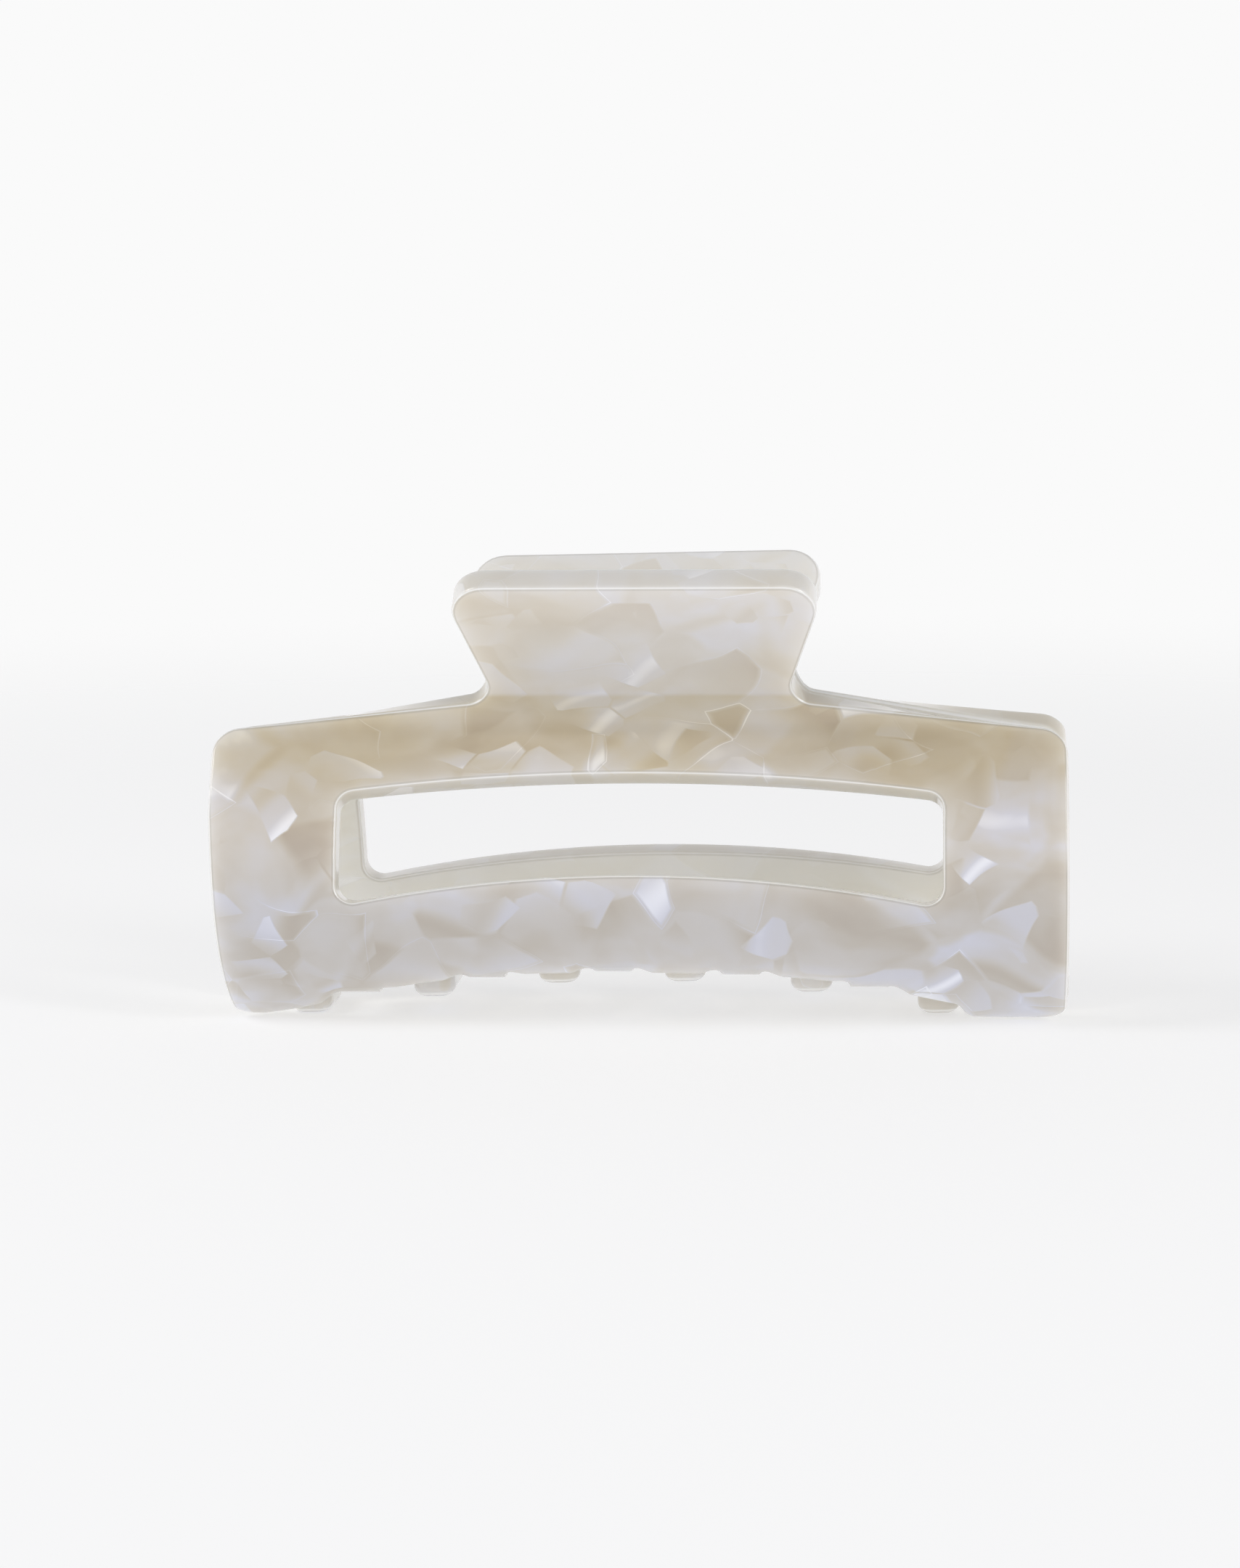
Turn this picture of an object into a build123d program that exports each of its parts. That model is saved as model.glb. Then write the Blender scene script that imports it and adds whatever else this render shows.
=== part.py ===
from build123d import *
import os
from math import asin, cos, degrees, radians, sin

# A claw hair clip: two jaws cut from sheet acetate and bent to shape, joined by a steel
# spring hinge. Millimetres, +X along the clip, +Z up, front jaw at -Y, rear jaw at +Y.
# The origin is at the middle of the face that the closed clip stands on.

# Sheet, seen from the end: a flat handle, a tight bend at the waist, a long body arc and
# a closer arc at the bottom. Runs are measured down the outer face from the handle's top.
SHEET = 3.5
HALF_LENGTH = 50.0
HANDLE_FLAT = 16.8
HANDLE_TILT = 37.3
WAIST_HEIGHT = 38.9
WAIST_HALF = 4.6
WAIST_RADIUS = 4.0
BODY_TILT = 39.4
BODY_RADIUS = 34.2
BODY_END = 43.0
LOWER_RADIUS = 15.0
LAST_RUN = 64.0
BEND_END = HANDLE_FLAT + WAIST_RADIUS * radians(HANDLE_TILT + BODY_TILT)

# Outline: the handle in its own plane, the body and its window seen from the front
HANDLE_HALF_TOP = 22.2
HANDLE_HALF_WAIST = 17.4
HANDLE_CORNER = 3.6
HANDLE_OVERLAP = 0.5
NECK_TOP_Z = 42.0
SHOULDER_Z = 37.9
WAIST_FILLET = 2.6
END_TOP_Z = 34.65
END_CORNER = 3.3
EDGE_MIDDLE_Z = 7.0
EDGE_BOW = 0.0031
WINDOW_HALF = 35.4
WINDOW_TOP_Z = (29.9, 27.7)
WINDOW_BOTTOM_Z = (18.6, 14.9)
WINDOW_CORNER = 2.0

# Corner feet: x where the foot leaves the edge, x of its inner toe, z of its sole
FRONT_FEET = ((-41.4, -45.4, 0.0), (37.4, 38.6, 0.0))
REAR_FEET = ((-43.0, -44.5, 2.4), (42.5, 45.4, -0.74))
REAR_TILT = 0.9

# Teeth, curled in under the clip so that the two rows interlock; heights of their
# undersides follow an arch: (middle x, middle z)
TOOTH_PITCH = 15.05
TOOTH_WIDTH = 5.0
TOOTH_CURL = 5.0
TOOTH_REACH = 4.0
TOOTH_CORNER = 1.2
TOOTH_ROOT = 2.0
TOOTH_GAP = 0.5
FRONT_TEETH = [-33.3 + TOOTH_PITCH * i for i in range(5)]
FRONT_ARCH = (0.0, 6.3, 0.0026)
REAR_TEETH = [-40.85 + TOOTH_PITCH * i for i in range(6)]
REAR_ARCH = (-3.0, 4.7, 0.0031)

# Hinge
PIN_Z = WAIST_HEIGHT + 5.5
PIN_RADIUS = 1.0
PIN_HALF = 14.1
PIN_CLEARANCE = 0.05
HEAD_RADIUS = 1.7
HEAD_LENGTH = 0.8
HEAD_ROUND = 0.35
KNUCKLE_RADIUS = 1.9
KNUCKLE_LENGTH = 2.8
KNUCKLE_X = (12.6, 9.65)
WEB_HALF = 1.2
LEAF = 0.8
LEAF_HALF = 15.0
LEAF_SPAN = (-1.2, 9.0)
LEAF_CORNER = 1.5
STUD_X = 11.5
STUD_Y = (3.4, 7.2)
STUD_RADIUS = 0.7
STUD_DEPTH = 2.2
STUD_CLEARANCE = 0.05
STUD_HEAD_RADIUS = 1.25
STUD_HEAD = 0.45

# Torsion spring
WIRE_RADIUS = 0.55
COIL_RADIUS = 2.08
COIL_TURNS = 5
COIL_PITCH = 1.2
LEG_LENGTH = 8.6

FRONT = -1
REAR = 1


def sheet_slope(run):
    """Angle of the outer face's normal above the horizontal, in degrees."""
    if run <= HANDLE_FLAT:
        return -HANDLE_TILT
    if run <= BEND_END:
        return -HANDLE_TILT + degrees((run - HANDLE_FLAT) / WAIST_RADIUS)
    if run <= BODY_END:
        return BODY_TILT - degrees((run - BEND_END) / BODY_RADIUS)
    return sheet_slope(BODY_END) - degrees((run - BODY_END) / LOWER_RADIUS)


def sheet_point(run, depth=0.0, side=REAR):
    """(y, z) on the sheet: run down its outer face, depth in from that face."""
    above_waist = HANDLE_FLAT - min(run, HANDLE_FLAT)
    out = WAIST_HALF + above_waist * sin(radians(HANDLE_TILT))
    up = WAIST_HEIGHT + above_waist * cos(radians(HANDLE_TILT))
    bends = ((HANDLE_FLAT, BEND_END, -WAIST_RADIUS), (BEND_END, BODY_END, BODY_RADIUS),
             (BODY_END, LAST_RUN, LOWER_RADIUS))
    for start, end, radius in bends:
        if run > start:
            first = radians(sheet_slope(start))
            last = radians(sheet_slope(min(run, end)))
            out += radius * (cos(last) - cos(first))
            up += radius * (sin(last) - sin(first))
    slope = radians(sheet_slope(run))
    return side * (out - depth * cos(slope)), up - depth * sin(slope)


def handle_plane(side, depth, facing):
    """Plane of a handle's face at the waist: local +Y up the handle."""
    y, z = sheet_point(HANDLE_FLAT, depth, side)
    tilt = radians(HANDLE_TILT)
    return Plane(origin=(0, y, z), x_dir=(-side * facing, 0, 0),
                 z_dir=(0, side * facing * cos(tilt), -facing * sin(tilt)))


def body_section(side):
    """Side view of the sheet below its handle."""
    stations = (HANDLE_FLAT, BEND_END, BODY_END, LAST_RUN)
    with BuildSketch(Plane.YZ) as section:
        with BuildLine():
            for depth in (0.0, SHEET):
                for start, end in zip(stations, stations[1:]):
                    ThreePointArc(sheet_point(start, depth, side),
                                  sheet_point((start + end) / 2, depth, side),
                                  sheet_point(end, depth, side))
            for run in (HANDLE_FLAT, LAST_RUN):
                Line(sheet_point(run, 0.0, side), sheet_point(run, SHEET, side))
        make_face()
    return section.sketch


def body_outline(feet):
    """Front view of a jaw's body, from the neck down to its feet."""
    (left_x, left_toe, left_z), (right_x, right_toe, right_z) = feet
    left_edge = (left_x, EDGE_MIDDLE_Z - EDGE_BOW * left_x**2)
    right_edge = (right_x, EDGE_MIDDLE_Z - EDGE_BOW * right_x**2)
    with BuildSketch(Plane.XZ) as outline:
        with BuildLine():
            Polyline(left_edge, (left_toe, left_z), (-HALF_LENGTH, left_z),
                     (-HALF_LENGTH, END_TOP_Z), (-HANDLE_HALF_WAIST, SHOULDER_Z),
                     (-HANDLE_HALF_WAIST, NECK_TOP_Z), (HANDLE_HALF_WAIST, NECK_TOP_Z),
                     (HANDLE_HALF_WAIST, SHOULDER_Z), (HALF_LENGTH, END_TOP_Z),
                     (HALF_LENGTH, right_z), (right_toe, right_z), right_edge)
            ThreePointArc(right_edge, (0.0, EDGE_MIDDLE_Z), left_edge)
        make_face()
        ends = vertices().group_by(Axis.X)
        fillet(ends[0] + ends[-1], END_CORNER)
        fillet(vertices().filter_by_position(Axis.Y, SHOULDER_Z - 0.1, SHOULDER_Z + 0.1),
               WAIST_FILLET)
    return outline.sketch


def window_outline():
    """The long window, its long sides bowed up in the middle."""
    with BuildSketch(Plane.XZ) as outline:
        with BuildLine():
            for middle_z, end_z in (WINDOW_TOP_Z, WINDOW_BOTTOM_Z):
                ThreePointArc((-WINDOW_HALF, end_z), (0.0, middle_z), (WINDOW_HALF, end_z))
            for x in (-WINDOW_HALF, WINDOW_HALF):
                Line((x, WINDOW_TOP_Z[1]), (x, WINDOW_BOTTOM_Z[1]))
        make_face()
        fillet(vertices(), WINDOW_CORNER)
    return outline.sketch


def handle_outline(side):
    """A handle in its own plane, wider at the top and rounded at the top corners."""
    with BuildSketch(handle_plane(side, 0.0, 1)) as outline:
        with BuildLine():
            Polyline((-HANDLE_HALF_WAIST, -HANDLE_OVERLAP), (-HANDLE_HALF_WAIST, 0.0),
                     (-HANDLE_HALF_TOP, HANDLE_FLAT), (HANDLE_HALF_TOP, HANDLE_FLAT),
                     (HANDLE_HALF_WAIST, 0.0), (HANDLE_HALF_WAIST, -HANDLE_OVERLAP),
                     close=True)
        make_face()
        fillet(vertices().group_by(Axis.Y)[-1], HANDLE_CORNER)
    return outline.sketch


def tooth_section(side, x, bottom):
    """Side view of a tooth that leaves the lower arc and curls in to height bottom."""
    first = radians(sheet_slope(BODY_END))
    edge_out, edge_up = sheet_point(BODY_END)
    arc_out = edge_out - LOWER_RADIUS * cos(first)
    arc_up = edge_up - LOWER_RADIUS * sin(first)
    start = asin((bottom + TOOTH_CURL - arc_up) / (LOWER_RADIUS - TOOTH_CURL))
    curl_out = arc_out + (LOWER_RADIUS - TOOTH_CURL) * cos(start)
    flat = radians(-90)
    root_run = BODY_END + LOWER_RADIUS * (first - start) - TOOTH_ROOT
    tip = -side * TOOTH_REACH
    with BuildSketch(Plane.YZ.offset(x)) as section:
        with BuildLine():
            for depth in (0.0, SHEET):
                radius = TOOTH_CURL - depth
                curl = [(side * (curl_out + radius * cos(angle)),
                         bottom + TOOTH_CURL + radius * sin(angle))
                        for angle in (start, (start + flat) / 2, flat)]
                Line(sheet_point(root_run, depth, side), curl[0])
                ThreePointArc(*curl)
                Line(curl[2], (tip, bottom + depth))
            Line(sheet_point(root_run, 0.0, side), sheet_point(root_run, SHEET, side))
            Line((tip, bottom), (tip, bottom + SHEET))
        make_face()
    return section.sketch


def tooth_bottom(x, arch):
    """Height of a tooth's underside on its row's arch."""
    middle_x, middle_z, bow = arch
    return middle_z - bow * (x - middle_x)**2


def add_jaw(side, feet, teeth, arch):
    """Cut, bend and curl one jaw in the current part, with its blind stud holes."""
    extrude(body_section(side), amount=HALF_LENGTH, both=True)
    extrude(body_outline(feet), amount=HALF_LENGTH, both=True, mode=Mode.INTERSECT)
    extrude(window_outline(), amount=HALF_LENGTH, both=True, mode=Mode.SUBTRACT)
    extrude(handle_outline(side), amount=-SHEET)
    for x in teeth:
        extrude(tooth_section(side, x, tooth_bottom(x, arch)), amount=TOOTH_WIDTH / 2,
                both=True)
    tip = -side * TOOTH_REACH
    fillet(edges().filter_by(Axis.Z).filter_by_position(Axis.Y, tip - 0.01, tip + 0.01),
           TOOTH_CORNER)
    with BuildSketch(handle_plane(side, SHEET, -1)) as holes:
        with Locations(stud_places()):
            Circle(STUD_RADIUS)
    extrude(holes.sketch, amount=-STUD_DEPTH, mode=Mode.SUBTRACT)


def tooth_spaces(side, teeth, arch):
    """Room, inside the other jaw, for the reach of a row of teeth."""
    with BuildPart() as spaces:
        for x in teeth:
            with BuildSketch(Plane.XY.offset(-TOOTH_GAP)):
                with Locations((x, -side * (TOOTH_REACH + TOOTH_GAP) / 2)):
                    Rectangle(TOOTH_WIDTH + 2 * TOOTH_GAP, TOOTH_REACH + TOOTH_GAP)
            extrude(amount=tooth_bottom(x, arch) + SHEET + 2 * TOOTH_GAP)
    return spaces.part


def set_on_hinge(solid, side):
    """The rear jaw and what is riveted to it sit a little out of level on the pin."""
    if side == FRONT:
        return solid
    return solid.rotate(Axis((0, 0, PIN_Z), (0, 1, 0)), -REAR_TILT)


def pin_foot():
    """How far up the handle's inner face, from the waist, the pin is nearest to it."""
    out, up = sheet_point(HANDLE_FLAT, SHEET)
    tilt = radians(HANDLE_TILT)
    return -out * sin(tilt) + (PIN_Z - up) * cos(tilt)


def leaf_distance():
    """Distance from the pin's axis to a leaf's free face."""
    out, up = sheet_point(HANDLE_FLAT, SHEET)
    tilt = radians(HANDLE_TILT)
    return out * cos(tilt) + (PIN_Z - up) * sin(tilt) - LEAF


def stud_places():
    """Stud positions in the plane of a handle's inner face."""
    return [(x, pin_foot() + y) for x in (-STUD_X, STUD_X) for y in STUD_Y]


def leaf_plate(side):
    """The flat of a hinge leaf, with its stud holes."""
    with BuildPart() as plate:
        with BuildSketch(handle_plane(side, SHEET, -1)):
            with Locations((0, pin_foot() + sum(LEAF_SPAN) / 2)):
                RectangleRounded(2 * LEAF_HALF, LEAF_SPAN[1] - LEAF_SPAN[0], LEAF_CORNER)
            with Locations(stud_places()):
                Circle(STUD_RADIUS + STUD_CLEARANCE, mode=Mode.SUBTRACT)
        extrude(amount=LEAF)
    return set_on_hinge(plate.part, side)


def add_leaf(side):
    """A stamped leaf in the current part: the flat plate and two knuckles round the pin."""
    add(leaf_plate(side))
    tilt = radians(HANDLE_TILT)
    reach = leaf_distance() + LEAF / 2
    out = (side * cos(tilt) * reach, -sin(tilt) * reach)
    along = (side * sin(tilt) * WEB_HALF, cos(tilt) * WEB_HALF)
    for x in (side * KNUCKLE_X[0], -side * KNUCKLE_X[1]):
        with BuildSketch(Plane.YZ.offset(x)) as knuckle:
            with Locations((0, PIN_Z)):
                Circle(KNUCKLE_RADIUS)
                Polygon(along, (along[0] + out[0], along[1] + out[1]),
                        (out[0] - along[0], out[1] - along[1]), (-along[0], -along[1]),
                        align=None)
                Circle(PIN_RADIUS + PIN_CLEARANCE, mode=Mode.SUBTRACT)
        extrude(knuckle.sketch, amount=KNUCKLE_LENGTH / 2, both=True)


with BuildPart() as front_jaw:
    add_jaw(FRONT, FRONT_FEET, FRONT_TEETH, FRONT_ARCH)
    add(set_on_hinge(tooth_spaces(REAR, REAR_TEETH, REAR_ARCH), REAR), mode=Mode.SUBTRACT)

with BuildPart() as rear_blank:
    add_jaw(REAR, REAR_FEET, REAR_TEETH, REAR_ARCH)

# What the rear jaw stands on is cut flat after it is set on the hinge
with BuildPart() as rear_jaw:
    add(set_on_hinge(rear_blank.part, REAR))
    add(tooth_spaces(FRONT, FRONT_TEETH, FRONT_ARCH), mode=Mode.SUBTRACT)
    split(bisect_by=Plane.XY, keep=Keep.TOP)

with BuildPart() as front_hinge_leaf:
    add_leaf(FRONT)

with BuildPart() as rear_hinge_leaf:
    add_leaf(REAR)

# Pin with a head formed at each end
with BuildPart() as hinge_pin:
    with BuildSketch(Plane.YZ):
        with Locations((0, PIN_Z)):
            Circle(PIN_RADIUS)
    extrude(amount=PIN_HALF, both=True)
    for end in (-1, 1):
        with BuildSketch(Plane.YZ.offset(end * PIN_HALF)):
            with Locations((0, PIN_Z)):
                Circle(HEAD_RADIUS)
        extrude(amount=end * HEAD_LENGTH)
    head_rims = edges().filter_by(GeomType.CIRCLE).group_by(Axis.X)
    fillet(head_rims[0] + head_rims[-1], HEAD_ROUND)

# Torsion spring: one wire, down the front leaf, wound round the pin and up the rear leaf
leaf_tilt = radians(HANDLE_TILT)
coil_angle = 180 - 2 * HANDLE_TILT + 360 * COIL_TURNS
coil_length = COIL_PITCH * coil_angle / 360
with BuildLine() as winding:
    coil = Helix(COIL_PITCH, coil_length, COIL_RADIUS)
    Line(coil @ 0, coil @ 0 - LEG_LENGTH * (coil % 0))
    Line(coil @ 1, coil @ 1 + LEG_LENGTH * (coil % 1))
spring_wire = winding.wire().moved(Plane(origin=(-coil_length / 2, 0, PIN_Z),
                                         x_dir=(0, -cos(leaf_tilt), -sin(leaf_tilt)),
                                         z_dir=(1, 0, 0)).location)
with BuildPart() as torsion_spring:
    with BuildSketch(Plane(origin=spring_wire @ 0, z_dir=spring_wire % 0)):
        Circle(WIRE_RADIUS)
    sweep(path=spring_wire)

os.makedirs("parts", exist_ok=True)
pieces = {"front_jaw": front_jaw, "rear_jaw": rear_jaw, "front_hinge_leaf": front_hinge_leaf,
          "rear_hinge_leaf": rear_hinge_leaf, "hinge_pin": hinge_pin,
          "torsion_spring": torsion_spring}
for name, piece in pieces.items():
    piece.part.label = name
    export_step(piece.part, f"parts/{name}.step")

# Drive studs: a low head on the leaf and a plain shank in the acetate
for side, row in ((FRONT, "front"), (REAR, "rear")):
    for number, place in enumerate(stud_places(), start=1):
        with BuildPart() as stud:
            with BuildSketch(handle_plane(side, SHEET - STUD_DEPTH, -1)):
                with Locations(place):
                    Circle(STUD_RADIUS)
            extrude(amount=STUD_DEPTH + LEAF)
            with BuildSketch(handle_plane(side, SHEET + LEAF, -1)):
                with Locations(place):
                    Circle(STUD_HEAD_RADIUS)
            extrude(amount=STUD_HEAD)
        anchor_stud = set_on_hinge(stud.part, side)
        anchor_stud.label = f"{row}_anchor_stud_{number}"
        export_step(anchor_stud, f"parts/{anchor_stud.label}.step")
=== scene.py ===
from math import asin, cos, pi, radians, sin

import bpy
import numpy as np
from mathutils import Matrix, Vector, geometry


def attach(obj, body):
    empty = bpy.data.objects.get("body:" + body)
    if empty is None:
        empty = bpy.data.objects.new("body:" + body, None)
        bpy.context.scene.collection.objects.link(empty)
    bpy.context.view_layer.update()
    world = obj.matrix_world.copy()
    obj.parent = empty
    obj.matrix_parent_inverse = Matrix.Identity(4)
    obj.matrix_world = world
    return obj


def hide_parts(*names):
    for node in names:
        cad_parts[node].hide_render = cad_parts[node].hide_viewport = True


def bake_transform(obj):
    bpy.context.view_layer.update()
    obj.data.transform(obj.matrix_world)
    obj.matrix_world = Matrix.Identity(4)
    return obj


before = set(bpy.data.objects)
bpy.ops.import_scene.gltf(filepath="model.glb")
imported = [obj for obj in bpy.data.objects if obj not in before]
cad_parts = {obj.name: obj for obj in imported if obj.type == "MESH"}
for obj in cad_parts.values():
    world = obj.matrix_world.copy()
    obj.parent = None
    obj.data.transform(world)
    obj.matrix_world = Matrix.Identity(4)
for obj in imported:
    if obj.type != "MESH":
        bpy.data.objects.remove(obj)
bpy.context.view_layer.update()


# Sheet acetate. Both jaws are cut from 3.5 mm pearl sheet: broken flakes of pearly film set in
# a cream base, polished to a wet gloss in a tumbler. Sizes in this file are in millimetres and
# the meshes are written in metres.
class Shade:
    """A socket of the material being built: arithmetic on it adds Math nodes."""

    def __init__(self, tree, socket=None):
        self.tree = tree
        self.socket = socket

    def node(self, kind, settings=None, inputs=None, output=0):
        made = self.tree.nodes.new(kind)
        for name, value in (settings or {}).items():
            if name == "stops":
                while len(made.color_ramp.elements) < len(value):
                    made.color_ramp.elements.new(1.0)
                for stop, (at, colour) in zip(made.color_ramp.elements, value):
                    stop.position = at
                    stop.color = (*colour, 1.0)
            else:
                setattr(made, name, value)
        for name, value in (inputs or {}).items():
            if isinstance(value, Shade):
                self.tree.links.new(value.socket, made.inputs[name])
            else:
                made.inputs[name].default_value = value
        return Shade(self.tree, made.outputs[output])

    def other(self, output):
        return Shade(self.tree, self.socket.node.outputs[output])

    def math(self, operation, *values):
        return self.node("ShaderNodeMath", {"operation": operation}, dict(enumerate(values)))

    def vector(self, operation, *values):
        output = "Value" if operation in ("DOT_PRODUCT", "LENGTH") else "Vector"
        return self.node("ShaderNodeVectorMath", {"operation": operation},
                         dict(enumerate(values)), output)

    def ramp(self, low, high):
        return self.node("ShaderNodeMapRange", {"interpolation_type": "SMOOTHSTEP"},
                         {"Value": self, "From Min": low, "From Max": high})

    def blend(self, other, share, kind="MIX"):
        """This colour turned towards another by a share of it."""
        return self.node("ShaderNodeMix", {"data_type": "RGBA", "blend_type": kind},
                         {0: share, 6: self, 7: other}, 2)

    def __add__(self, other):
        return self.math("ADD", self, other)

    __radd__ = __add__

    def __sub__(self, other):
        return self.math("SUBTRACT", self, other)

    def __rsub__(self, other):
        return self.math("SUBTRACT", other, self)

    def __mul__(self, other):
        return self.math("MULTIPLY", self, other)

    __rmul__ = __mul__


def linear(red, green, blue):
    """A colour given in display values from 0 to 255, as light."""
    return [((v / 255 + 0.055) / 1.055)**2.4 for v in (red, green, blue)]


def new_material(name, **surface):
    """A material with one Principled surface, and the Shade that builds its nodes."""
    material = bpy.data.materials.new(name)
    material.use_nodes = True
    tree = material.node_tree
    principled = tree.nodes["Principled BSDF"]
    for socket, value in surface.items():
        principled.inputs[socket.replace("_", " ")].default_value = value
    return material, Shade(tree), principled


def flakes(place, size, seed, folds):
    """Flakes of film about size across: silk, fade and luck of each, and the way to its edge."""
    spot = place.vector("MULTIPLY", place, (1 / size, 1.35 / size, 1 / size))
    spot = spot.vector("ADD", spot, (seed, seed * 0.7, seed * 0.3))
    flake = place.node("ShaderNodeTexVoronoi", {"feature": "F1"}, {"Vector": spot, "Scale": 1.0},
                       "Color")
    luck = flake.node("ShaderNodeSeparateColor", {}, {"Color": flake}, "Red")
    lean = flake.vector("NORMALIZE", flake.vector("SUBTRACT", flake, (0.5, 0.5, 0.5)))
    across = spot.vector("DOT_PRODUCT", spot.vector("SUBTRACT", spot, flake.other("Position")),
                         lean)
    turns = across * (folds * 0.4 + folds * luck.other("Green")) + 6.28 * luck.other("Blue")
    silk = 0.5 + 0.4 * turns.math("SINE", turns) + 0.1 * turns.math("SINE", turns * 4.3)
    edge = place.node("ShaderNodeTexVoronoi", {"feature": "DISTANCE_TO_EDGE"},
                      {"Vector": spot, "Scale": 1.0}, "Distance")
    return silk, (across + 0.55).ramp(0.0, 0.9), luck, edge


WARM_TONE_AND_PAINTED_SHADE = (0.945, 0.88, 0.71, 1.0)
COOL_FILM = (0.88, 0.9, 0.945, 1.0)
INNER_PAINTED_LIGHT = (*linear(255, 253, 245), 1.0)
HANDLE_PAINTED_LIGHT = (*linear(244, 241, 238), 1.0)
CUT_EDGE = (*linear(212, 209, 201), 1.0)
EDGE_PAINTED_SHADE = (0.62, 0.61, 0.6, 1.0)
EDGE_PAINTED_GLINT = (*linear(250, 249, 246), 1.0)
SHEET = 3.5
acetate, shade, surface = new_material(
    "pearl_acetate", Roughness=0.3, IOR=1.49, Coat_Weight=1.0, Coat_Roughness=0.05,
    Subsurface_Weight=0.8, Subsurface_Scale=0.007)
surface.inputs["Subsurface Radius"].default_value = (1.0, 0.97, 0.92)
place = shade.node("ShaderNodeAttribute", {"attribute_name": "sheet_place"}, {}, "Vector")
depth = shade.node("ShaderNodeSeparateXYZ", {}, {"Vector": place}, "Z")
rim = shade.node("ShaderNodeAttribute", {"attribute_name": "rim"}, {}, "Fac")
wander = shade.node("ShaderNodeTexNoise", {}, {"Vector": place, "Scale": 0.07, "Detail": 1.0},
                    "Color")
# Three sizes of flake lie over each other, each softened at its edges
bent = place.vector("ADD", place, place.vector("MULTIPLY", place.vector(
    "SUBTRACT", wander, (0.5, 0.5, 0.5)), (7.0, 7.0, 3.0)))
wide_silk, _, wide_luck, wide_edge = flakes(bent, 17.0, 3.1, 2.2)
mid_silk, mid_fade, mid_luck, mid_edge = flakes(bent, 9.0, 11.7, 2.6)
shard_silk, shard_fade, shard_luck, shard_edge = flakes(bent, 5.5, 23.9, 2.4)
mid_share = mid_luck.ramp(0.3, 0.4) * mid_fade * mid_edge.ramp(0.0, 0.06)
shard_share = shard_luck.ramp(0.58, 0.62) * shard_fade * shard_edge.ramp(0.0, 0.05)
satin = place.node("ShaderNodeTexNoise", {}, {"Vector": bent.vector(
    "MULTIPLY", bent, (0.14, 0.22, 0.2)), "Scale": 1.0, "Detail": 2.0}, 0)
satin = satin.ramp(0.3, 0.7)
calm = wide_edge.ramp(0.0, 0.08)
silk = (wide_silk * 0.55 + wide_luck * 0.45) * calm + 0.5 * (1 - calm)
silk = silk * 0.8 + satin * 0.2
silk = silk * (1 - mid_share) + (mid_silk * 0.8 + mid_luck.other("Green") * 0.2) * mid_share
silk = silk * (1 - shard_share) + (0.3 + shard_silk * 0.7) * shard_share
crease = (1 - mid_edge.ramp(0.0, 0.02)) * mid_luck.ramp(0.6, 0.75) * mid_fade
silk = silk * 1.02 + crease * 0.3 + 0.01
cream = shade.node("ShaderNodeValToRGB", {"stops": [
    (0.0, linear(186, 174, 160)), (0.3, linear(200, 192, 180)), (0.55, linear(209, 204, 198)),
    (0.8, linear(214, 213, 219)), (1.0, linear(243, 243, 250))]}, {0: silk})
# The colour is warmer in random patches and just below the waist, where that band is painted
# shade for the light the hinge and rear jaw behind keep out of the sheet; it is cooler below. The
# inner faces and the handle are painted paler, as light shining through the sheet, and the cut
# edges are paler and plainer, with a painted dark line and a painted glint along each rounded
# edge.
warmth = shade.node("ShaderNodeTexNoise", {}, {"Vector": bent, "Scale": 0.06, "Detail": 1.0}, 0)
run = depth.other("Y")
below_waist = run.ramp(16.6, 17.4)
# The noise patches are the film's own warm tone; the band below the waist is painted shade, where
# the hinge and rear jaw behind hold back light through the sheet.
warm_tone_and_painted_shade = (warmth.ramp(0.42, 0.62) * (1 - run.ramp(28.0, 38.0)) * 0.5
        + below_waist * (1 - run.ramp(23.0, 31.0)) * 0.75)
pearl = cream.blend(WARM_TONE_AND_PAINTED_SHADE, warm_tone_and_painted_shade, "MULTIPLY")
lower_share = run.ramp(33.0, 45.0) * (1 - rim)
pearl = pearl.blend(COOL_FILM, lower_share, "MULTIPLY")
# Painted light: the inner faces are turned paler, for light that shines through the sheet onto
# them.
inner_painted_light_share = (depth * (1 / SHEET)).ramp(0.7, 1.0) * (0.4 + below_waist * 0.3)
pearl = pearl.blend(INNER_PAINTED_LIGHT, inner_painted_light_share)
# Painted light: the handle above the waist is turned paler, as if lit through from behind and
# below.
pearl = pearl.blend(HANDLE_PAINTED_LIGHT, (1 - below_waist) * 0.25)
pearl = pearl.blend(CUT_EDGE, rim * 0.45)
# Painted shade: a thin dark line along each rounded edge, where the edge's refraction would show
# darker.
line = rim.ramp(0.05, 0.35) * (1 - rim.ramp(0.45, 0.8))
pearl = pearl.blend(EDGE_PAINTED_SHADE, line * 0.5, "MULTIPLY")
# Painted highlight: a thin pale glint along the middle of each rounded edge.
painted_glint = rim.ramp(0.5, 0.65) * (1 - rim.ramp(0.72, 0.9))
pearl = pearl.blend(EDGE_PAINTED_GLINT, painted_glint * 0.7)
shade.tree.links.new(pearl.socket, surface.inputs["Base Color"])
dent = shade.node("ShaderNodeBump", {}, {"Strength": 0.25, "Distance": 0.0004, "Height": silk})
shade.tree.links.new(dent.socket, surface.inputs["Normal"])


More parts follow.
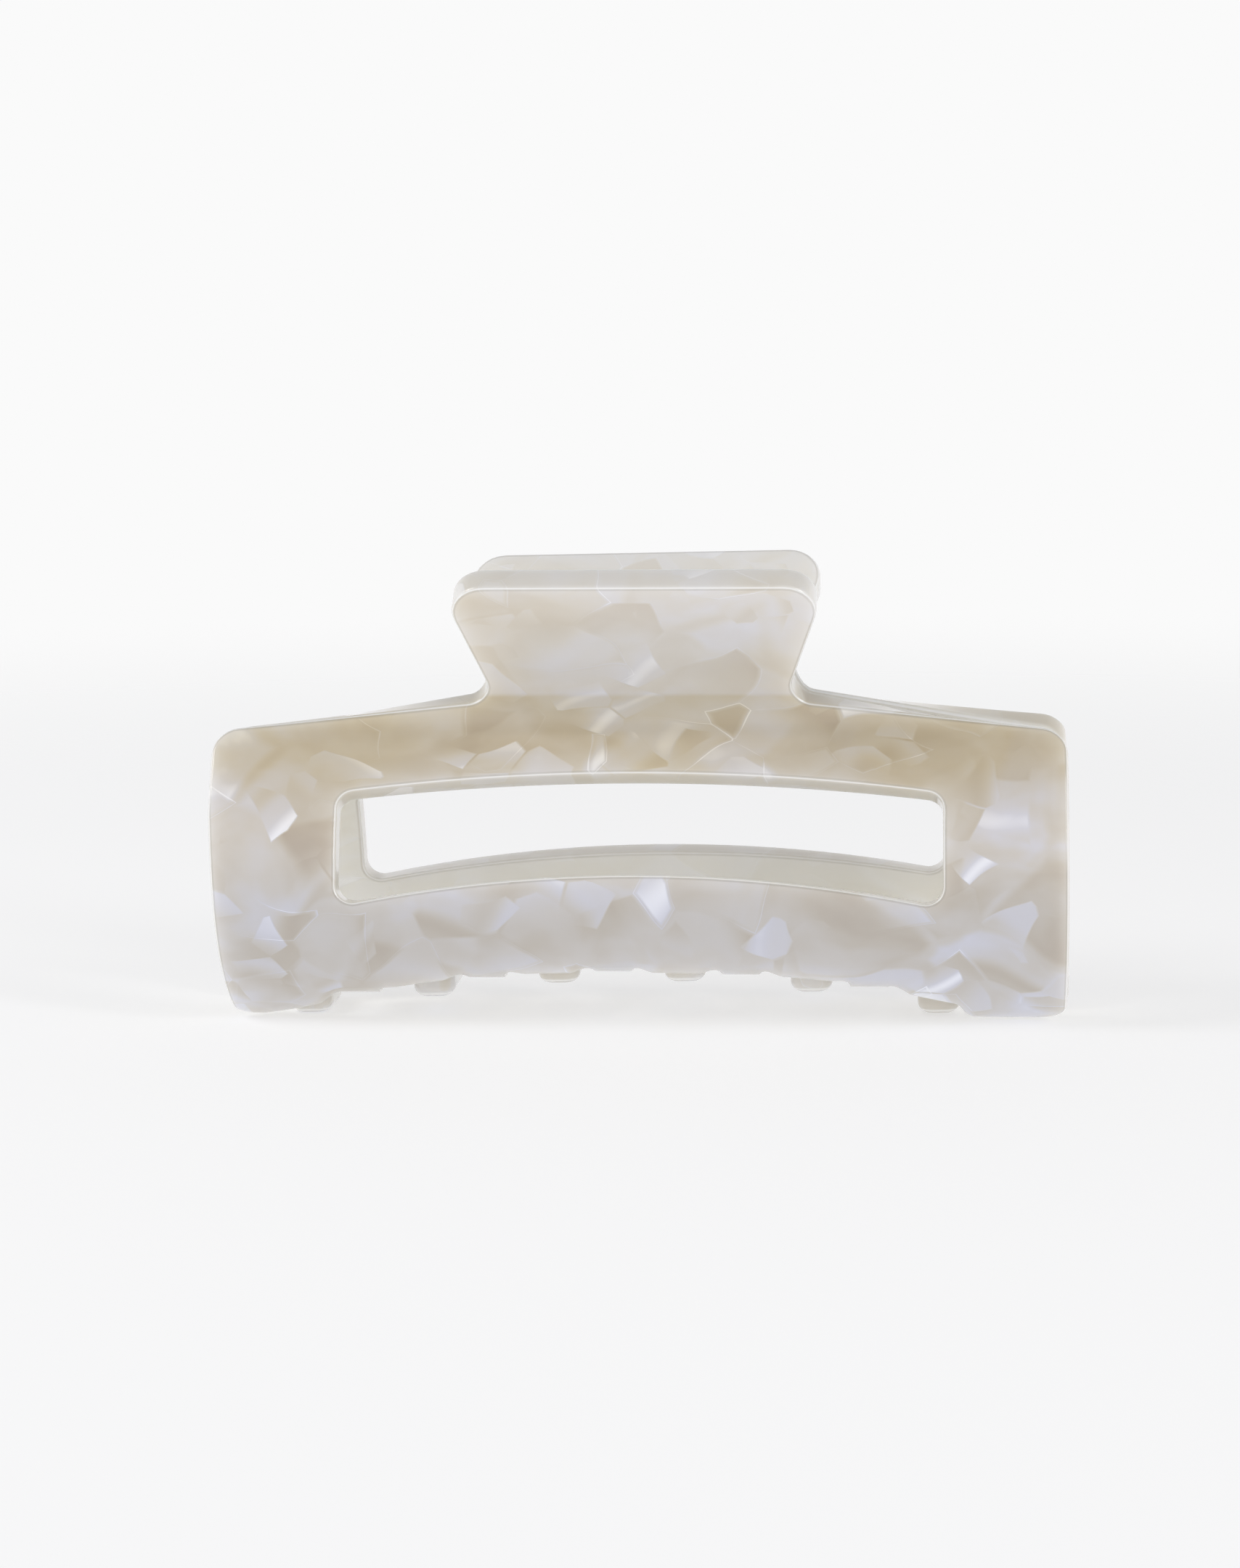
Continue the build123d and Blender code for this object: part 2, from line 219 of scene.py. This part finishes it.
# The jaws: each is one sheet, cut flat with its window and six or five teeth, then heated and
# bent over a former: handle out, waist in, body round the hair, teeth curled under to meet.
# Places on the flat sheet are x and run, the distance down the outer face from the handle's top.
HANDLE_FLAT = 16.8
HANDLE_TILT = radians(37.3)
HANDLE_TOP = (14.78, 52.264)
WAIST_RADIUS = 4.0
BODY_TILT = radians(39.4)
BODY_RADIUS = 34.2
BODY_END = 43.0
LOWER_RADIUS = 15.0
TOOTH_CURL = 5.0
TOOTH_HALF = 2.5
TOOTH_PITCH = 15.05
EDGE_ROUND = 0.55
TIP_ROUND = 1.25
PIN_HEIGHT = 44.4
REAR_TILT = radians(0.9)
TOOTH_REACH = 4.0
END_TOOTH_REACH = 3.2
TOOTH_ROOT_CORNER = 1.0
TOOTH_TIP_CORNER = 1.9
TOOTH_BLEND = 2.6
SCALLOP_HALF = 2.4
LOWEST_TOOTH = 0.05
EDGE_MIDDLE = 51.75
EDGE_RISE = 1.07e-4
RIGHT_CORNERS = [(-22.6, 0, 4.0), (22.2, 0, 3.8), (17.1, 17.9, 2.6), (50, 21.3, 3.3)]
LEFT_CORNERS = [(-50.8, 32, 0), (-50.9, 21.3, 3.3), (-17.2, 17.9, 2.6)]
WINDOW_HALF = 35.455
WINDOW_TOP = (27.115, 0.002)
WINDOW_BOTTOM = (39.318, 0.003)
WINDOW_CORNER = 2.0
MESH_SPACING = 0.8
STEP = 0.02
RUNS = np.arange(0.0, 80.0, STEP)
WAIST_END = HANDLE_FLAT + WAIST_RADIUS * (HANDLE_TILT + BODY_TILT)


def side_view(curl_start=None):
    """Slope, distance out and height of the sheet's outer face at each of RUNS."""
    bend = np.select([RUNS < HANDLE_FLAT, RUNS < WAIST_END, RUNS < BODY_END],
                     [0.0, 1 / WAIST_RADIUS, -1 / BODY_RADIUS], -1 / LOWER_RADIUS)
    if curl_start is not None:
        bend = np.where(RUNS > curl_start, -1 / TOOTH_CURL, bend)
    slope = np.maximum(np.cumsum(bend) * STEP - HANDLE_TILT, -pi / 2)
    out = HANDLE_TOP[0] + np.cumsum(np.sin(slope)) * STEP
    up = HANDLE_TOP[1] - np.cumsum(np.cos(slope)) * STEP
    return slope, out, up


BODY_VIEW = side_view()


def on_sheet(view, flat):
    """Distance out and height for flat places (x, run, depth) on a side view."""
    slope, out, up = (np.interp(flat[:, 1], RUNS, values) for values in view)
    return np.stack([out - flat[:, 2] * np.cos(slope), up - flat[:, 2] * np.sin(slope)], 1)


def curl_start(bottom):
    """Run at which a tooth leaves the lower bend to end level at height bottom."""
    first, out, up = (np.interp(BODY_END, RUNS, values) for values in BODY_VIEW)
    centre = up - LOWER_RADIUS * sin(first)
    start = asin((bottom + TOOTH_CURL - centre) / (LOWER_RADIUS - TOOTH_CURL))
    return BODY_END + LOWER_RADIUS * (first - start)


def run_at_height(height):
    """Run at which the outer face is at a height, on the lower bend."""
    return float(np.interp(-height, -BODY_VIEW[2][RUNS > 30], RUNS[RUNS > 30]))


def rounded(corners):
    """Closed outline through (x, y, radius) corners, in even steps."""
    points = []
    for (ax, ay, _), (x, y, radius), (bx, by, _) in zip(corners[-1:] + corners[:-1], corners,
                                                        corners[1:] + corners[:1]):
        corner = np.array((x, y))
        if radius == 0:
            points.append(corner)
            continue
        back = np.array((ax, ay)) - corner
        ahead = np.array((bx, by)) - corner
        back /= np.linalg.norm(back)
        ahead /= np.linalg.norm(ahead)
        half = np.arccos(back @ ahead) / 2
        middle = back + ahead
        centre = corner + middle / np.linalg.norm(middle) * radius / sin(half)
        start = corner + back * radius / np.tan(half) - centre
        sweep = (pi - 2 * half) * np.sign(back[0] * ahead[1] - back[1] * ahead[0])
        for turn in np.linspace(0, -sweep, 9):
            points.append(centre + (start[0] * cos(turn) - start[1] * sin(turn),
                                    start[0] * sin(turn) + start[1] * cos(turn)))
    points = np.array(points + points[:1])
    length = np.concatenate([[0], np.cumsum(np.linalg.norm(np.diff(points, axis=0), axis=1))])
    along = np.linspace(0, length[-1], int(length[-1] / 0.35), endpoint=False)
    return np.stack([np.interp(along, length, points[:, i]) for i in (0, 1)], 1)


def inside(points, outline):
    """Whether each point is inside a closed outline."""
    ends = np.roll(outline, -1, axis=0)
    crossed = np.zeros(len(points), bool)
    for (ax, ay), (bx, by) in zip(outline, ends):
        if ay != by:
            at = ax + (points[:, 1] - ay) * (bx - ax) / (by - ay)
            crossed ^= ((ay > points[:, 1]) != (by > points[:, 1])) & (points[:, 0] < at)
    return crossed


def rounded_sheet(name, outlines, thickness, rounding, bend, spacing, mirrored):
    """A sheet with rounded edges, cut to outlines (the first outside, the rest holes)."""
    angles = np.linspace(0, pi / 2, 7)
    rings = [(1 - sin(a), 0, 1 - cos(a), sin(a), -cos(a)) for a in angles]
    rings += [(inset, thickness, -drop, level, -face)
              for inset, _, drop, level, face in rings[::-1]]
    places, normals, sides, faces, rims = [], [], [], [], []
    count = 0
    for outline in outlines:
        ahead = np.roll(outline, -1, axis=0) - np.roll(outline, 1, axis=0)
        ahead /= np.linalg.norm(ahead, axis=1)[:, None]
        inward = np.stack([-ahead[:, 1], ahead[:, 0]], 1)
        size = len(outline)
        radius = rounding(outline)
        for inset, base, drop, level, face in rings:
            ring = outline + inward * (inset * radius)[:, None]
            places.append(np.column_stack([ring, base + drop * radius]))
            normals.append(np.column_stack([-inward * level, np.full(size, face)]))
            sides.append(np.full(size, level))
        for k in range(len(rings) - 1):
            for i in range(size):
                j = (i + 1) % size
                low, high = count + k * size, count + (k + 1) * size
                faces.append((low + i, low + j, high + j, high + i))
        rims.append((count, size, places[-len(rings)][:, :2]))
        count += size * len(rings)
    outer = outlines[0]
    grid_x = np.arange(outer[:, 0].min(), outer[:, 0].max(), spacing)
    grid_y = np.arange(outer[:, 1].min(), outer[:, 1].max(), spacing)
    grid = np.stack(np.meshgrid(grid_x, grid_y), -1).reshape(-1, 2)
    edge = np.concatenate([rim for _, _, rim in rims])
    kept = inside(grid, rims[0][2])
    for _, _, rim in rims[1:]:
        kept &= ~inside(grid, rim)
    grid = grid[kept]
    near = np.array([np.min(np.sum((edge - p)**2, axis=1)) for p in grid])
    grid = grid[near > (0.5 * spacing)**2]
    flat = np.concatenate([edge, grid])
    lines, start = [], 0
    for _, size, _ in rims:
        lines += [(start + i, start + (i + 1) % size) for i in range(size)]
        start += size
    found = geometry.delaunay_2d_cdt([Vector(p) for p in flat], lines, [], 0, 1e-6)
    triangles = np.array([[found[3][v][0] for v in face] for face in found[2]])
    middles = flat[triangles].mean(axis=1)
    kept = inside(middles, rims[0][2])
    for _, _, rim in rims[1:]:
        kept &= ~inside(middles, rim)
    triangles = triangles[kept]
    for depth, last in ((0.0, False), (thickness, True)):
        index = []
        for first, size, _ in rims:
            index += list(range(first + (len(rings) - 1) * size * last,
                                first + (len(rings) - 1) * size * last + size))
        index += list(range(count, count + len(grid)))
        places.append(np.column_stack([grid, np.full(len(grid), depth)]))
        normals.append(np.tile((0.0, 0.0, 1.0 if last else -1.0), (len(grid), 1)))
        sides.append(np.zeros(len(grid)))
        count += len(grid)
        index = np.array(index)[triangles]
        faces += [tuple(t[::-1]) if not last else tuple(t) for t in index]
    places = np.concatenate(places)
    normals = np.concatenate(normals)
    nudge = 0.01
    axes = []
    for axis in range(3):
        step = np.zeros(3)
        step[axis] = nudge
        along = bend(places + step) - bend(places - step)
        axes.append(along / np.linalg.norm(along, axis=1)[:, None])
    normals = sum(axes[i] * normals[:, i:i + 1] for i in range(3))
    if mirrored:
        faces = [face[::-1] for face in faces]
    mesh = bpy.data.meshes.new(name)
    mesh.from_pydata((bend(places) / 1000).tolist(), [], faces)
    mesh.attributes.new("sheet_place", "FLOAT_VECTOR", "POINT").data.foreach_set(
        "vector", places.astype(np.float32).ravel())
    mesh.attributes.new("rim", "FLOAT", "POINT").data.foreach_set(
        "value", np.concatenate(sides).astype(np.float32))
    mesh.shade_smooth()
    mesh.normals_split_custom_set_from_vertices(normals.tolist())
    piece = bpy.data.objects.new(name, mesh)
    bpy.context.scene.collection.objects.link(piece)
    return piece


def edge_round(flat):
    """Radius of the edges: tumbling wears the tips of the teeth rounder."""
    share = np.clip((flat[:, 1] - lower_edge(flat[:, 0]) - 2.0) / 2.5, 0, 1)
    return EDGE_ROUND + (TIP_ROUND - EDGE_ROUND) * share


def lower_edge(x):
    """Run of the arched edge between the feet."""
    return EDGE_MIDDLE + EDGE_RISE * abs(x)**3


def arched(line, corner, way):
    """Corners along a bowed line of the window, the two ends rounded."""
    middle, bow = line
    places = np.linspace(-WINDOW_HALF, WINDOW_HALF, 25)[::way]
    return [(x, middle + bow * x * x, corner if abs(x) > WINDOW_HALF - 0.05 else 0)
            for x in places]


def jaw(name, side, teeth, arch, left_foot, right_foot):
    """One jaw: side is -1 in front and 1 behind; teeth are the x and reach of each."""
    tips = []
    for x, reach in teeth:
        lowest = LOWEST_TOOTH - max(side, 0) * x * sin(REAR_TILT)
        start = curl_start(max(arch[1] - arch[2] * (x - arch[0])**2, lowest))
        view = side_view(start)
        level = RUNS[np.argmax(view[0] <= -pi / 2 + 1e-6)]
        tips.append((x, view, level + np.interp(level, RUNS, view[1]) + reach))
    corners = RIGHT_CORNERS + right_foot
    for x, _, tip in tips[::-1]:
        right_side, left_side = x + TOOTH_HALF, x - TOOTH_HALF
        corners += [(right_side, lower_edge(right_side), TOOTH_ROOT_CORNER),
                    (right_side, tip, TOOTH_TIP_CORNER), (left_side, tip, TOOTH_TIP_CORNER),
                    (left_side, lower_edge(left_side), TOOTH_ROOT_CORNER)]
        gap = x - TOOTH_PITCH / 2
        if x > tips[0][0]:
            corners += [(gap + d, lower_edge(gap + d), 0)
                        for d in (SCALLOP_HALF, 0.0, -SCALLOP_HALF)]
    corners += left_foot + LEFT_CORNERS
    window = arched(WINDOW_TOP, WINDOW_CORNER, 1) + arched(WINDOW_BOTTOM, WINDOW_CORNER, -1)
    outlines = [rounded(corners), rounded(window[::-1])]

    def bend(flat):
        seen = on_sheet(BODY_VIEW, flat)
        for x, view, _ in tips:
            share = np.clip(1 - (np.abs(flat[:, 0] - x) - TOOTH_HALF) / TOOTH_BLEND, 0, 1)
            share = (share * share * (3 - 2 * share))[:, None]
            seen = seen * (1 - share) + on_sheet(view, flat) * share
        bent = np.column_stack([flat[:, 0], side * seen[:, 0], seen[:, 1]])
        if side > 0:
            x, z = bent[:, 0].copy(), bent[:, 2] - PIN_HEIGHT
            bent[:, 0] = x * cos(REAR_TILT) - z * sin(REAR_TILT)
            bent[:, 2] = x * sin(REAR_TILT) + z * cos(REAR_TILT) + PIN_HEIGHT
        return bent

    piece = rounded_sheet(name, outlines, SHEET, edge_round, bend, MESH_SPACING, side > 0)
    piece.data.materials.append(acetate)
    return piece


foot_run = run_at_height(0.15)
front = jaw("front_jaw_sheet", -1,
            [(-33.3 + TOOTH_PITCH * i, TOOTH_REACH) for i in range(5)], (0.0, 6.3, 0.0026),
            [(-41.4, lower_edge(41.4), 2.0), (-45.6, foot_run, 1.5), (-48.9, foot_run - 0.5, 2.6)],
            [(50, foot_run, 3.3), (38.6, foot_run, 1.0), (37.2, lower_edge(37.2), 1.2)])
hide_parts("front_jaw")
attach(front, "front_body")
left_run, right_run = run_at_height(2.0), run_at_height(-0.7)
rear = jaw("rear_jaw_sheet", 1,
           [(-40.85 + TOOTH_PITCH * i, TOOTH_REACH if 0 < i < 5 else END_TOOTH_REACH)
            for i in range(6)], (-3.0, 4.3, 0.0032),
           [(-44.6, left_run, 1.2), (-50, left_run, 3.3)],
           [(50, right_run, 3.3), (45.2, right_run, 1.2), (42.3, lower_edge(42.3), 1.2)])
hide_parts("rear_jaw")
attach(rear, "rear_body")


# Hinge: stamped and rolled steel leaves on a headed pin, nickel plated and tumbled to a soft
# shine. The sheet is cut by a die, so its faces carry a faint directional grain.
def metal(name, colour, roughness, grain):
    """Plated steel with a fine grain along X and cloudy wear in its shine."""
    material, shade, surface = new_material(name, Metallic=1.0)
    place = shade.node("ShaderNodeTexCoord", {}, {}, "Object")
    lines = shade.node("ShaderNodeTexNoise", {}, {"Vector": place.vector(
        "MULTIPLY", place, grain), "Scale": 1.0, "Detail": 3.0}, 0)
    cloud = shade.node("ShaderNodeTexNoise", {}, {"Vector": place, "Scale": 260.0,
                                                  "Detail": 2.0}, 0)
    tone = shade.node("ShaderNodeValToRGB", {"stops": [
        (0.3, [v * 0.82 for v in colour]), (0.7, colour)]}, {0: cloud * 0.6 + lines * 0.4})
    shade.tree.links.new(tone.socket, surface.inputs["Base Color"])
    shine = lines * 0.12 + cloud * 0.12 + (roughness - 0.12)
    shade.tree.links.new(shine.socket, surface.inputs["Roughness"])
    bump = shade.node("ShaderNodeBump", {}, {"Strength": 0.2, "Distance": 0.00004,
                                             "Height": lines})
    shade.tree.links.new(bump.socket, surface.inputs["Normal"])
    return material


hinge_steel = metal("hinge_steel", linear(214, 212, 208), 0.3, (400.0, 9000.0, 9000.0))
EDGE_SOFTNESS = 0.00012
for name in ("front_hinge_leaf", "rear_hinge_leaf", "hinge_pin"):
    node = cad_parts[name]
    node.data.materials.clear()
    node.data.materials.append(hinge_steel)
    weld = node.modifiers.new("weld", "WELD")
    weld.merge_threshold = 0.000002
    softened = node.modifiers.new("softened", "BEVEL")
    softened.width = EDGE_SOFTNESS
    softened.segments = 3
    softened.limit_method = "ANGLE"
    softened.angle_limit = radians(35)
    softened.harden_normals = True


# Torsion spring: one wire down the front leaf, a little over five turns round the pin and up the
# rear leaf.
class Graph(Shade):
    """A socket of a Geometry Nodes tree."""

    def node(self, kind, settings=None, inputs=None, output=0):
        return Graph(self.tree, super().node(kind, settings, inputs, output).socket)

    def given(self, name):
        """One of the tree's own inputs."""
        return Graph(self.tree, next(n for n in self.tree.nodes if n.type == "GROUP_INPUT")
                     .outputs[name])


def new_graph(name, inputs):
    """An empty Geometry Nodes tree with named inputs, as {name: kind of socket}."""
    tree = bpy.data.node_groups.new(name, "GeometryNodeTree")
    tree.interface.new_socket("Geometry", in_out="OUTPUT", socket_type="NodeSocketGeometry")
    for title, kind in inputs.items():
        tree.interface.new_socket(title, in_out="INPUT", socket_type="NodeSocket" + kind)
    tree.nodes.new("NodeGroupInput")
    return Graph(tree)


def grown(name, shape, values):
    """The piece that a tree makes with these values, as a plain mesh."""
    real = shape.node("GeometryNodeRealizeInstances", {}, {"Geometry": shape})
    done = real.node("GeometryNodeSetMaterial", {}, {
        "Geometry": real, "Material": shape.given("Material")})
    tree = shape.tree
    last = tree.nodes.new("NodeGroupOutput")
    tree.links.new(done.socket, last.inputs[0])
    holder = bpy.data.objects.new(name + "_holder", bpy.data.meshes.new(name + "_holder"))
    bpy.context.scene.collection.objects.link(holder)
    modifier = holder.modifiers.new("grow", "NODES")
    modifier.node_group = tree
    for item in tree.interface.items_tree:
        if item.in_out == "INPUT":
            modifier[item.identifier] = values[item.name]
    bpy.context.view_layer.update()
    graph = bpy.context.evaluated_depsgraph_get()
    mesh = bpy.data.meshes.new_from_object(holder.evaluated_get(graph))
    bpy.data.objects.remove(holder)
    piece = bpy.data.objects.new(name, mesh)
    bpy.context.scene.collection.objects.link(piece)
    return piece


COIL_RADIUS = 2.08
COIL_PITCH = 1.2
WIRE_RADIUS = 0.55
SPRING_LEG = 8.6
COIL_TURNS = 5
coil_turn = pi - 2 * HANDLE_TILT + 2 * pi * COIL_TURNS
coil_width = COIL_PITCH * coil_turn / (2 * pi)
spring_steel = metal("spring_steel", linear(196, 194, 191), 0.34, (900.0, 900.0, 900.0))
graph = new_graph("wound_wire", {"Turn": "Float", "Start": "Float", "Coil Radius": "Float",
                                 "Width": "Float", "Leg": "Float", "Height": "Float",
                                 "Wire Radius": "Float", "Points": "Int",
                                 "Material": "Material"})
turn, leg, radius = graph.given("Turn"), graph.given("Leg"), graph.given("Coil Radius")
count = graph.given("Points")
arc = turn * radius
spot = graph.node("GeometryNodeInputIndex")
travel = spot.math("DIVIDE", spot, count - 1) * (arc + 2 * leg) - leg
wound = travel.math("MINIMUM", travel.math("MAXIMUM", travel, 0.0), arc)
past = travel - wound
share = wound.math("DIVIDE", wound, arc)
angle = graph.given("Start") + share * turn
cosine, sine = angle.math("COSINE", angle), angle.math("SINE", angle)
along = graph.node("ShaderNodeCombineXYZ", {}, {
    0: (share - 0.5) * graph.given("Width") + past.math("DIVIDE", past, arc) * graph.given(
        "Width"),
    1: cosine * radius - sine * past,
    2: sine * radius + cosine * past + graph.given("Height")})
line = graph.node("GeometryNodeMeshLine", {}, {"Count": count})
line = line.node("GeometryNodeMeshToCurve", {}, {0: line})
line = line.node("GeometryNodeSetPosition", {}, {"Geometry": line, "Position": along})
ring = graph.node("GeometryNodeCurvePrimitiveCircle", {}, {
    "Resolution": 16, "Radius": graph.given("Wire Radius")})
wire = line.node("GeometryNodeCurveToMesh", {}, {"Curve": line, "Profile Curve": ring,
                                                 "Fill Caps": True})
spring = grown("torsion_spring_wire", wire.node("GeometryNodeSetShadeSmooth", {}, {0: wire}), {
    "Turn": coil_turn, "Start": pi + HANDLE_TILT, "Coil Radius": COIL_RADIUS / 1000,
    "Width": coil_width / 1000, "Leg": SPRING_LEG / 1000, "Height": PIN_HEIGHT / 1000,
    "Wire Radius": WIRE_RADIUS / 1000, "Points": 420, "Material": spring_steel})
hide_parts("torsion_spring")
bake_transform(spring)

# Drive studs: four to a leaf, driven through it into the acetate, with low domed heads.
STUD_SPREAD = (23.0, 3.8)
STUD_MIDDLE = 5.3
STUD_HEAD = (1.25, 0.45)
LEAF = 0.8
face_out, face_up = on_sheet(BODY_VIEW, np.array([(0.0, HANDLE_FLAT, SHEET)]))[0]
up_handle = STUD_MIDDLE - face_out * sin(HANDLE_TILT) + (PIN_HEIGHT - face_up) * cos(HANDLE_TILT)
stud_out = face_out + up_handle * sin(HANDLE_TILT) - LEAF * cos(HANDLE_TILT)
stud_up = face_up + up_handle * cos(HANDLE_TILT) + LEAF * sin(HANDLE_TILT)
graph = new_graph("stud_heads", {"Spread X": "Float", "Spread Y": "Float", "Radius": "Float",
                                 "Height": "Float", "Lean": "Vector", "Place": "Vector",
                                 "Material": "Material"})
spots = graph.node("GeometryNodeMeshGrid", {}, {
    "Size X": graph.given("Spread X"), "Size Y": graph.given("Spread Y"), "Vertices X": 2,
    "Vertices Y": 2})
dome = graph.node("GeometryNodeMeshUVSphere", {}, {"Segments": 28, "Rings": 18, "Radius": 1.0})
spot = graph.node("GeometryNodeInputPosition")
rise = spot.node("ShaderNodeSeparateXYZ", {}, {0: spot}, "Z")
flattened = rise * (1.5 - rise * rise * 0.5)
dome = dome.node("GeometryNodeSetPosition", {}, {
    "Geometry": dome, "Position": graph.node("ShaderNodeCombineXYZ", {}, {
        0: rise.other("X") * graph.given("Radius"), 1: rise.other("Y") * graph.given("Radius"),
        2: flattened * graph.given("Height")})})
dome = dome.node("GeometryNodeSetShadeSmooth", {}, {0: dome})
heads = spots.node("GeometryNodeInstanceOnPoints", {}, {"Points": spots, "Instance": dome})
heads = heads.node("GeometryNodeTransform", {}, {
    "Geometry": heads, "Translation": graph.given("Place"), "Rotation": graph.given("Lean")})
for side, row in ((-1, "front"), (1, "rear")):
    studs = grown(row + "_stud_heads", heads, {
        "Spread X": STUD_SPREAD[0] / 1000, "Spread Y": STUD_SPREAD[1] / 1000,
        "Radius": STUD_HEAD[0] / 1000, "Height": STUD_HEAD[1] / 1000,
        "Lean": (side * (pi / 2 - HANDLE_TILT), 0.0, 0.0),
        "Place": (0.0, side * stud_out / 1000, stud_up / 1000), "Material": hinge_steel})
    if side > 0:
        pin = Matrix.Translation((0, 0, PIN_HEIGHT / 1000))
        studs.data.transform(pin @ Matrix.Rotation(-REAR_TILT, 4, "Y") @ pin.inverted())
    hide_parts(*[f"{row}_anchor_stud_{number}" for number in (1, 2, 3, 4)])
    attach(studs, row + "_body")


# Floor and light: a pale sweep that fades into an even backdrop, a softbox above on the left
# and a narrow one on the right.
FLOOR_FADE = (0.16, 0.5)
floor_mesh = bpy.data.meshes.new("floor")
floor_mesh.from_pydata([(-3, -3, 0), (3, -3, 0), (3, 3, 0), (-3, 3, 0)], [], [(0, 1, 2, 3)])
floor = bpy.data.objects.new("floor", floor_mesh)
bpy.context.scene.collection.objects.link(floor)
paper, shade, surface = new_material("floor_paper", Roughness=0.9, Specular_IOR_Level=0.0)
surface.inputs["Base Color"].default_value = (0.56, 0.56, 0.56, 1.0)
surface.inputs["Emission Color"].default_value = (1.0, 1.0, 1.0, 1.0)
surface.inputs["Emission Strength"].default_value = 0.505
floor_mesh.materials.append(paper)
spot = shade.node("ShaderNodeTexCoord", {}, {}, "Object")
fade = spot.vector("LENGTH", spot).ramp(*FLOOR_FADE)
clear = shade.node("ShaderNodeBsdfTransparent")
mixed = shade.node("ShaderNodeMixShader", {}, {0: fade, 1: Shade(shade.tree, surface.outputs[0]),
                                               2: clear})
shade.tree.links.new(mixed.socket, shade.tree.nodes["Material Output"].inputs["Surface"])

world = bpy.data.worlds.new("studio")
world.use_nodes = True
bpy.context.scene.world = world
shade = Shade(world.node_tree)
ray = shade.node("ShaderNodeLightPath", {}, {}, "Is Camera Ray")
backdrop = shade.node("ShaderNodeBackground", {}, {"Color": (*linear(250, 250, 250), 1.0)})
height = shade.node("ShaderNodeTexCoord", {}, {}, "Generated")
height = shade.node("ShaderNodeSeparateXYZ", {}, {"Vector": height}, "Z")
room = shade.node("ShaderNodeValToRGB", {"stops": [
    (0.0, (0.95, 0.95, 0.96)), (0.25, (0.95, 0.95, 0.96)), (0.8, (0.31, 0.312, 0.325))]},
    {0: height})
room = shade.node("ShaderNodeBackground", {}, {"Color": room})
mixed = shade.node("ShaderNodeMixShader", {}, {0: ray, 1: room, 2: backdrop})
shade.tree.links.new(mixed.socket, world.node_tree.nodes["World Output"].inputs["Surface"])


def softbox(name, place, width, height, power):
    """A rectangular lamp aimed at the clip."""
    lamp = bpy.data.lights.new(name, "AREA")
    lamp.shape = "RECTANGLE"
    lamp.size = width
    lamp.size_y = height
    lamp.energy = power
    box = bpy.data.objects.new(name, lamp)
    box.location = place
    box.rotation_euler = (Vector((0, 0, 0.03)) - Vector(place)).to_track_quat("-Z", "Y").to_euler()
    bpy.context.scene.collection.objects.link(box)


softbox("softbox_left", (-0.5, -0.15, 0.45), 0.3, 0.3, 1.1)
softbox("softbox_right", (0.55, -0.35, 0.35), 0.12, 0.4, 1.0)

# Camera: a long lens a little above the clip and to its right.
AIM = Vector((-2.82, 0.0, 27.52)) / 1000
DISTANCE = 0.4489
LENS = 86.49
around, above, roll = radians(4.491), radians(8.145), radians(-0.591)
back = Vector((sin(around) * cos(above), -cos(around) * cos(above), sin(above)))
right = Vector((cos(around), sin(around), 0.0))
up = back.cross(right)
lens_right = cos(roll) * right + sin(roll) * up
lens_up = cos(roll) * up - sin(roll) * right
view = bpy.data.cameras.new("camera")
view.lens = LENS
view.sensor_width = 36.0
view.clip_start = 0.01
camera = bpy.data.objects.new("camera", view)
turn = Matrix((lens_right, lens_up, back)).transposed().to_4x4()
camera.matrix_world = Matrix.Translation(AIM + back * DISTANCE) @ turn
bpy.context.scene.collection.objects.link(camera)
bpy.context.scene.camera = camera
bpy.context.scene.view_settings.view_transform = "Standard"
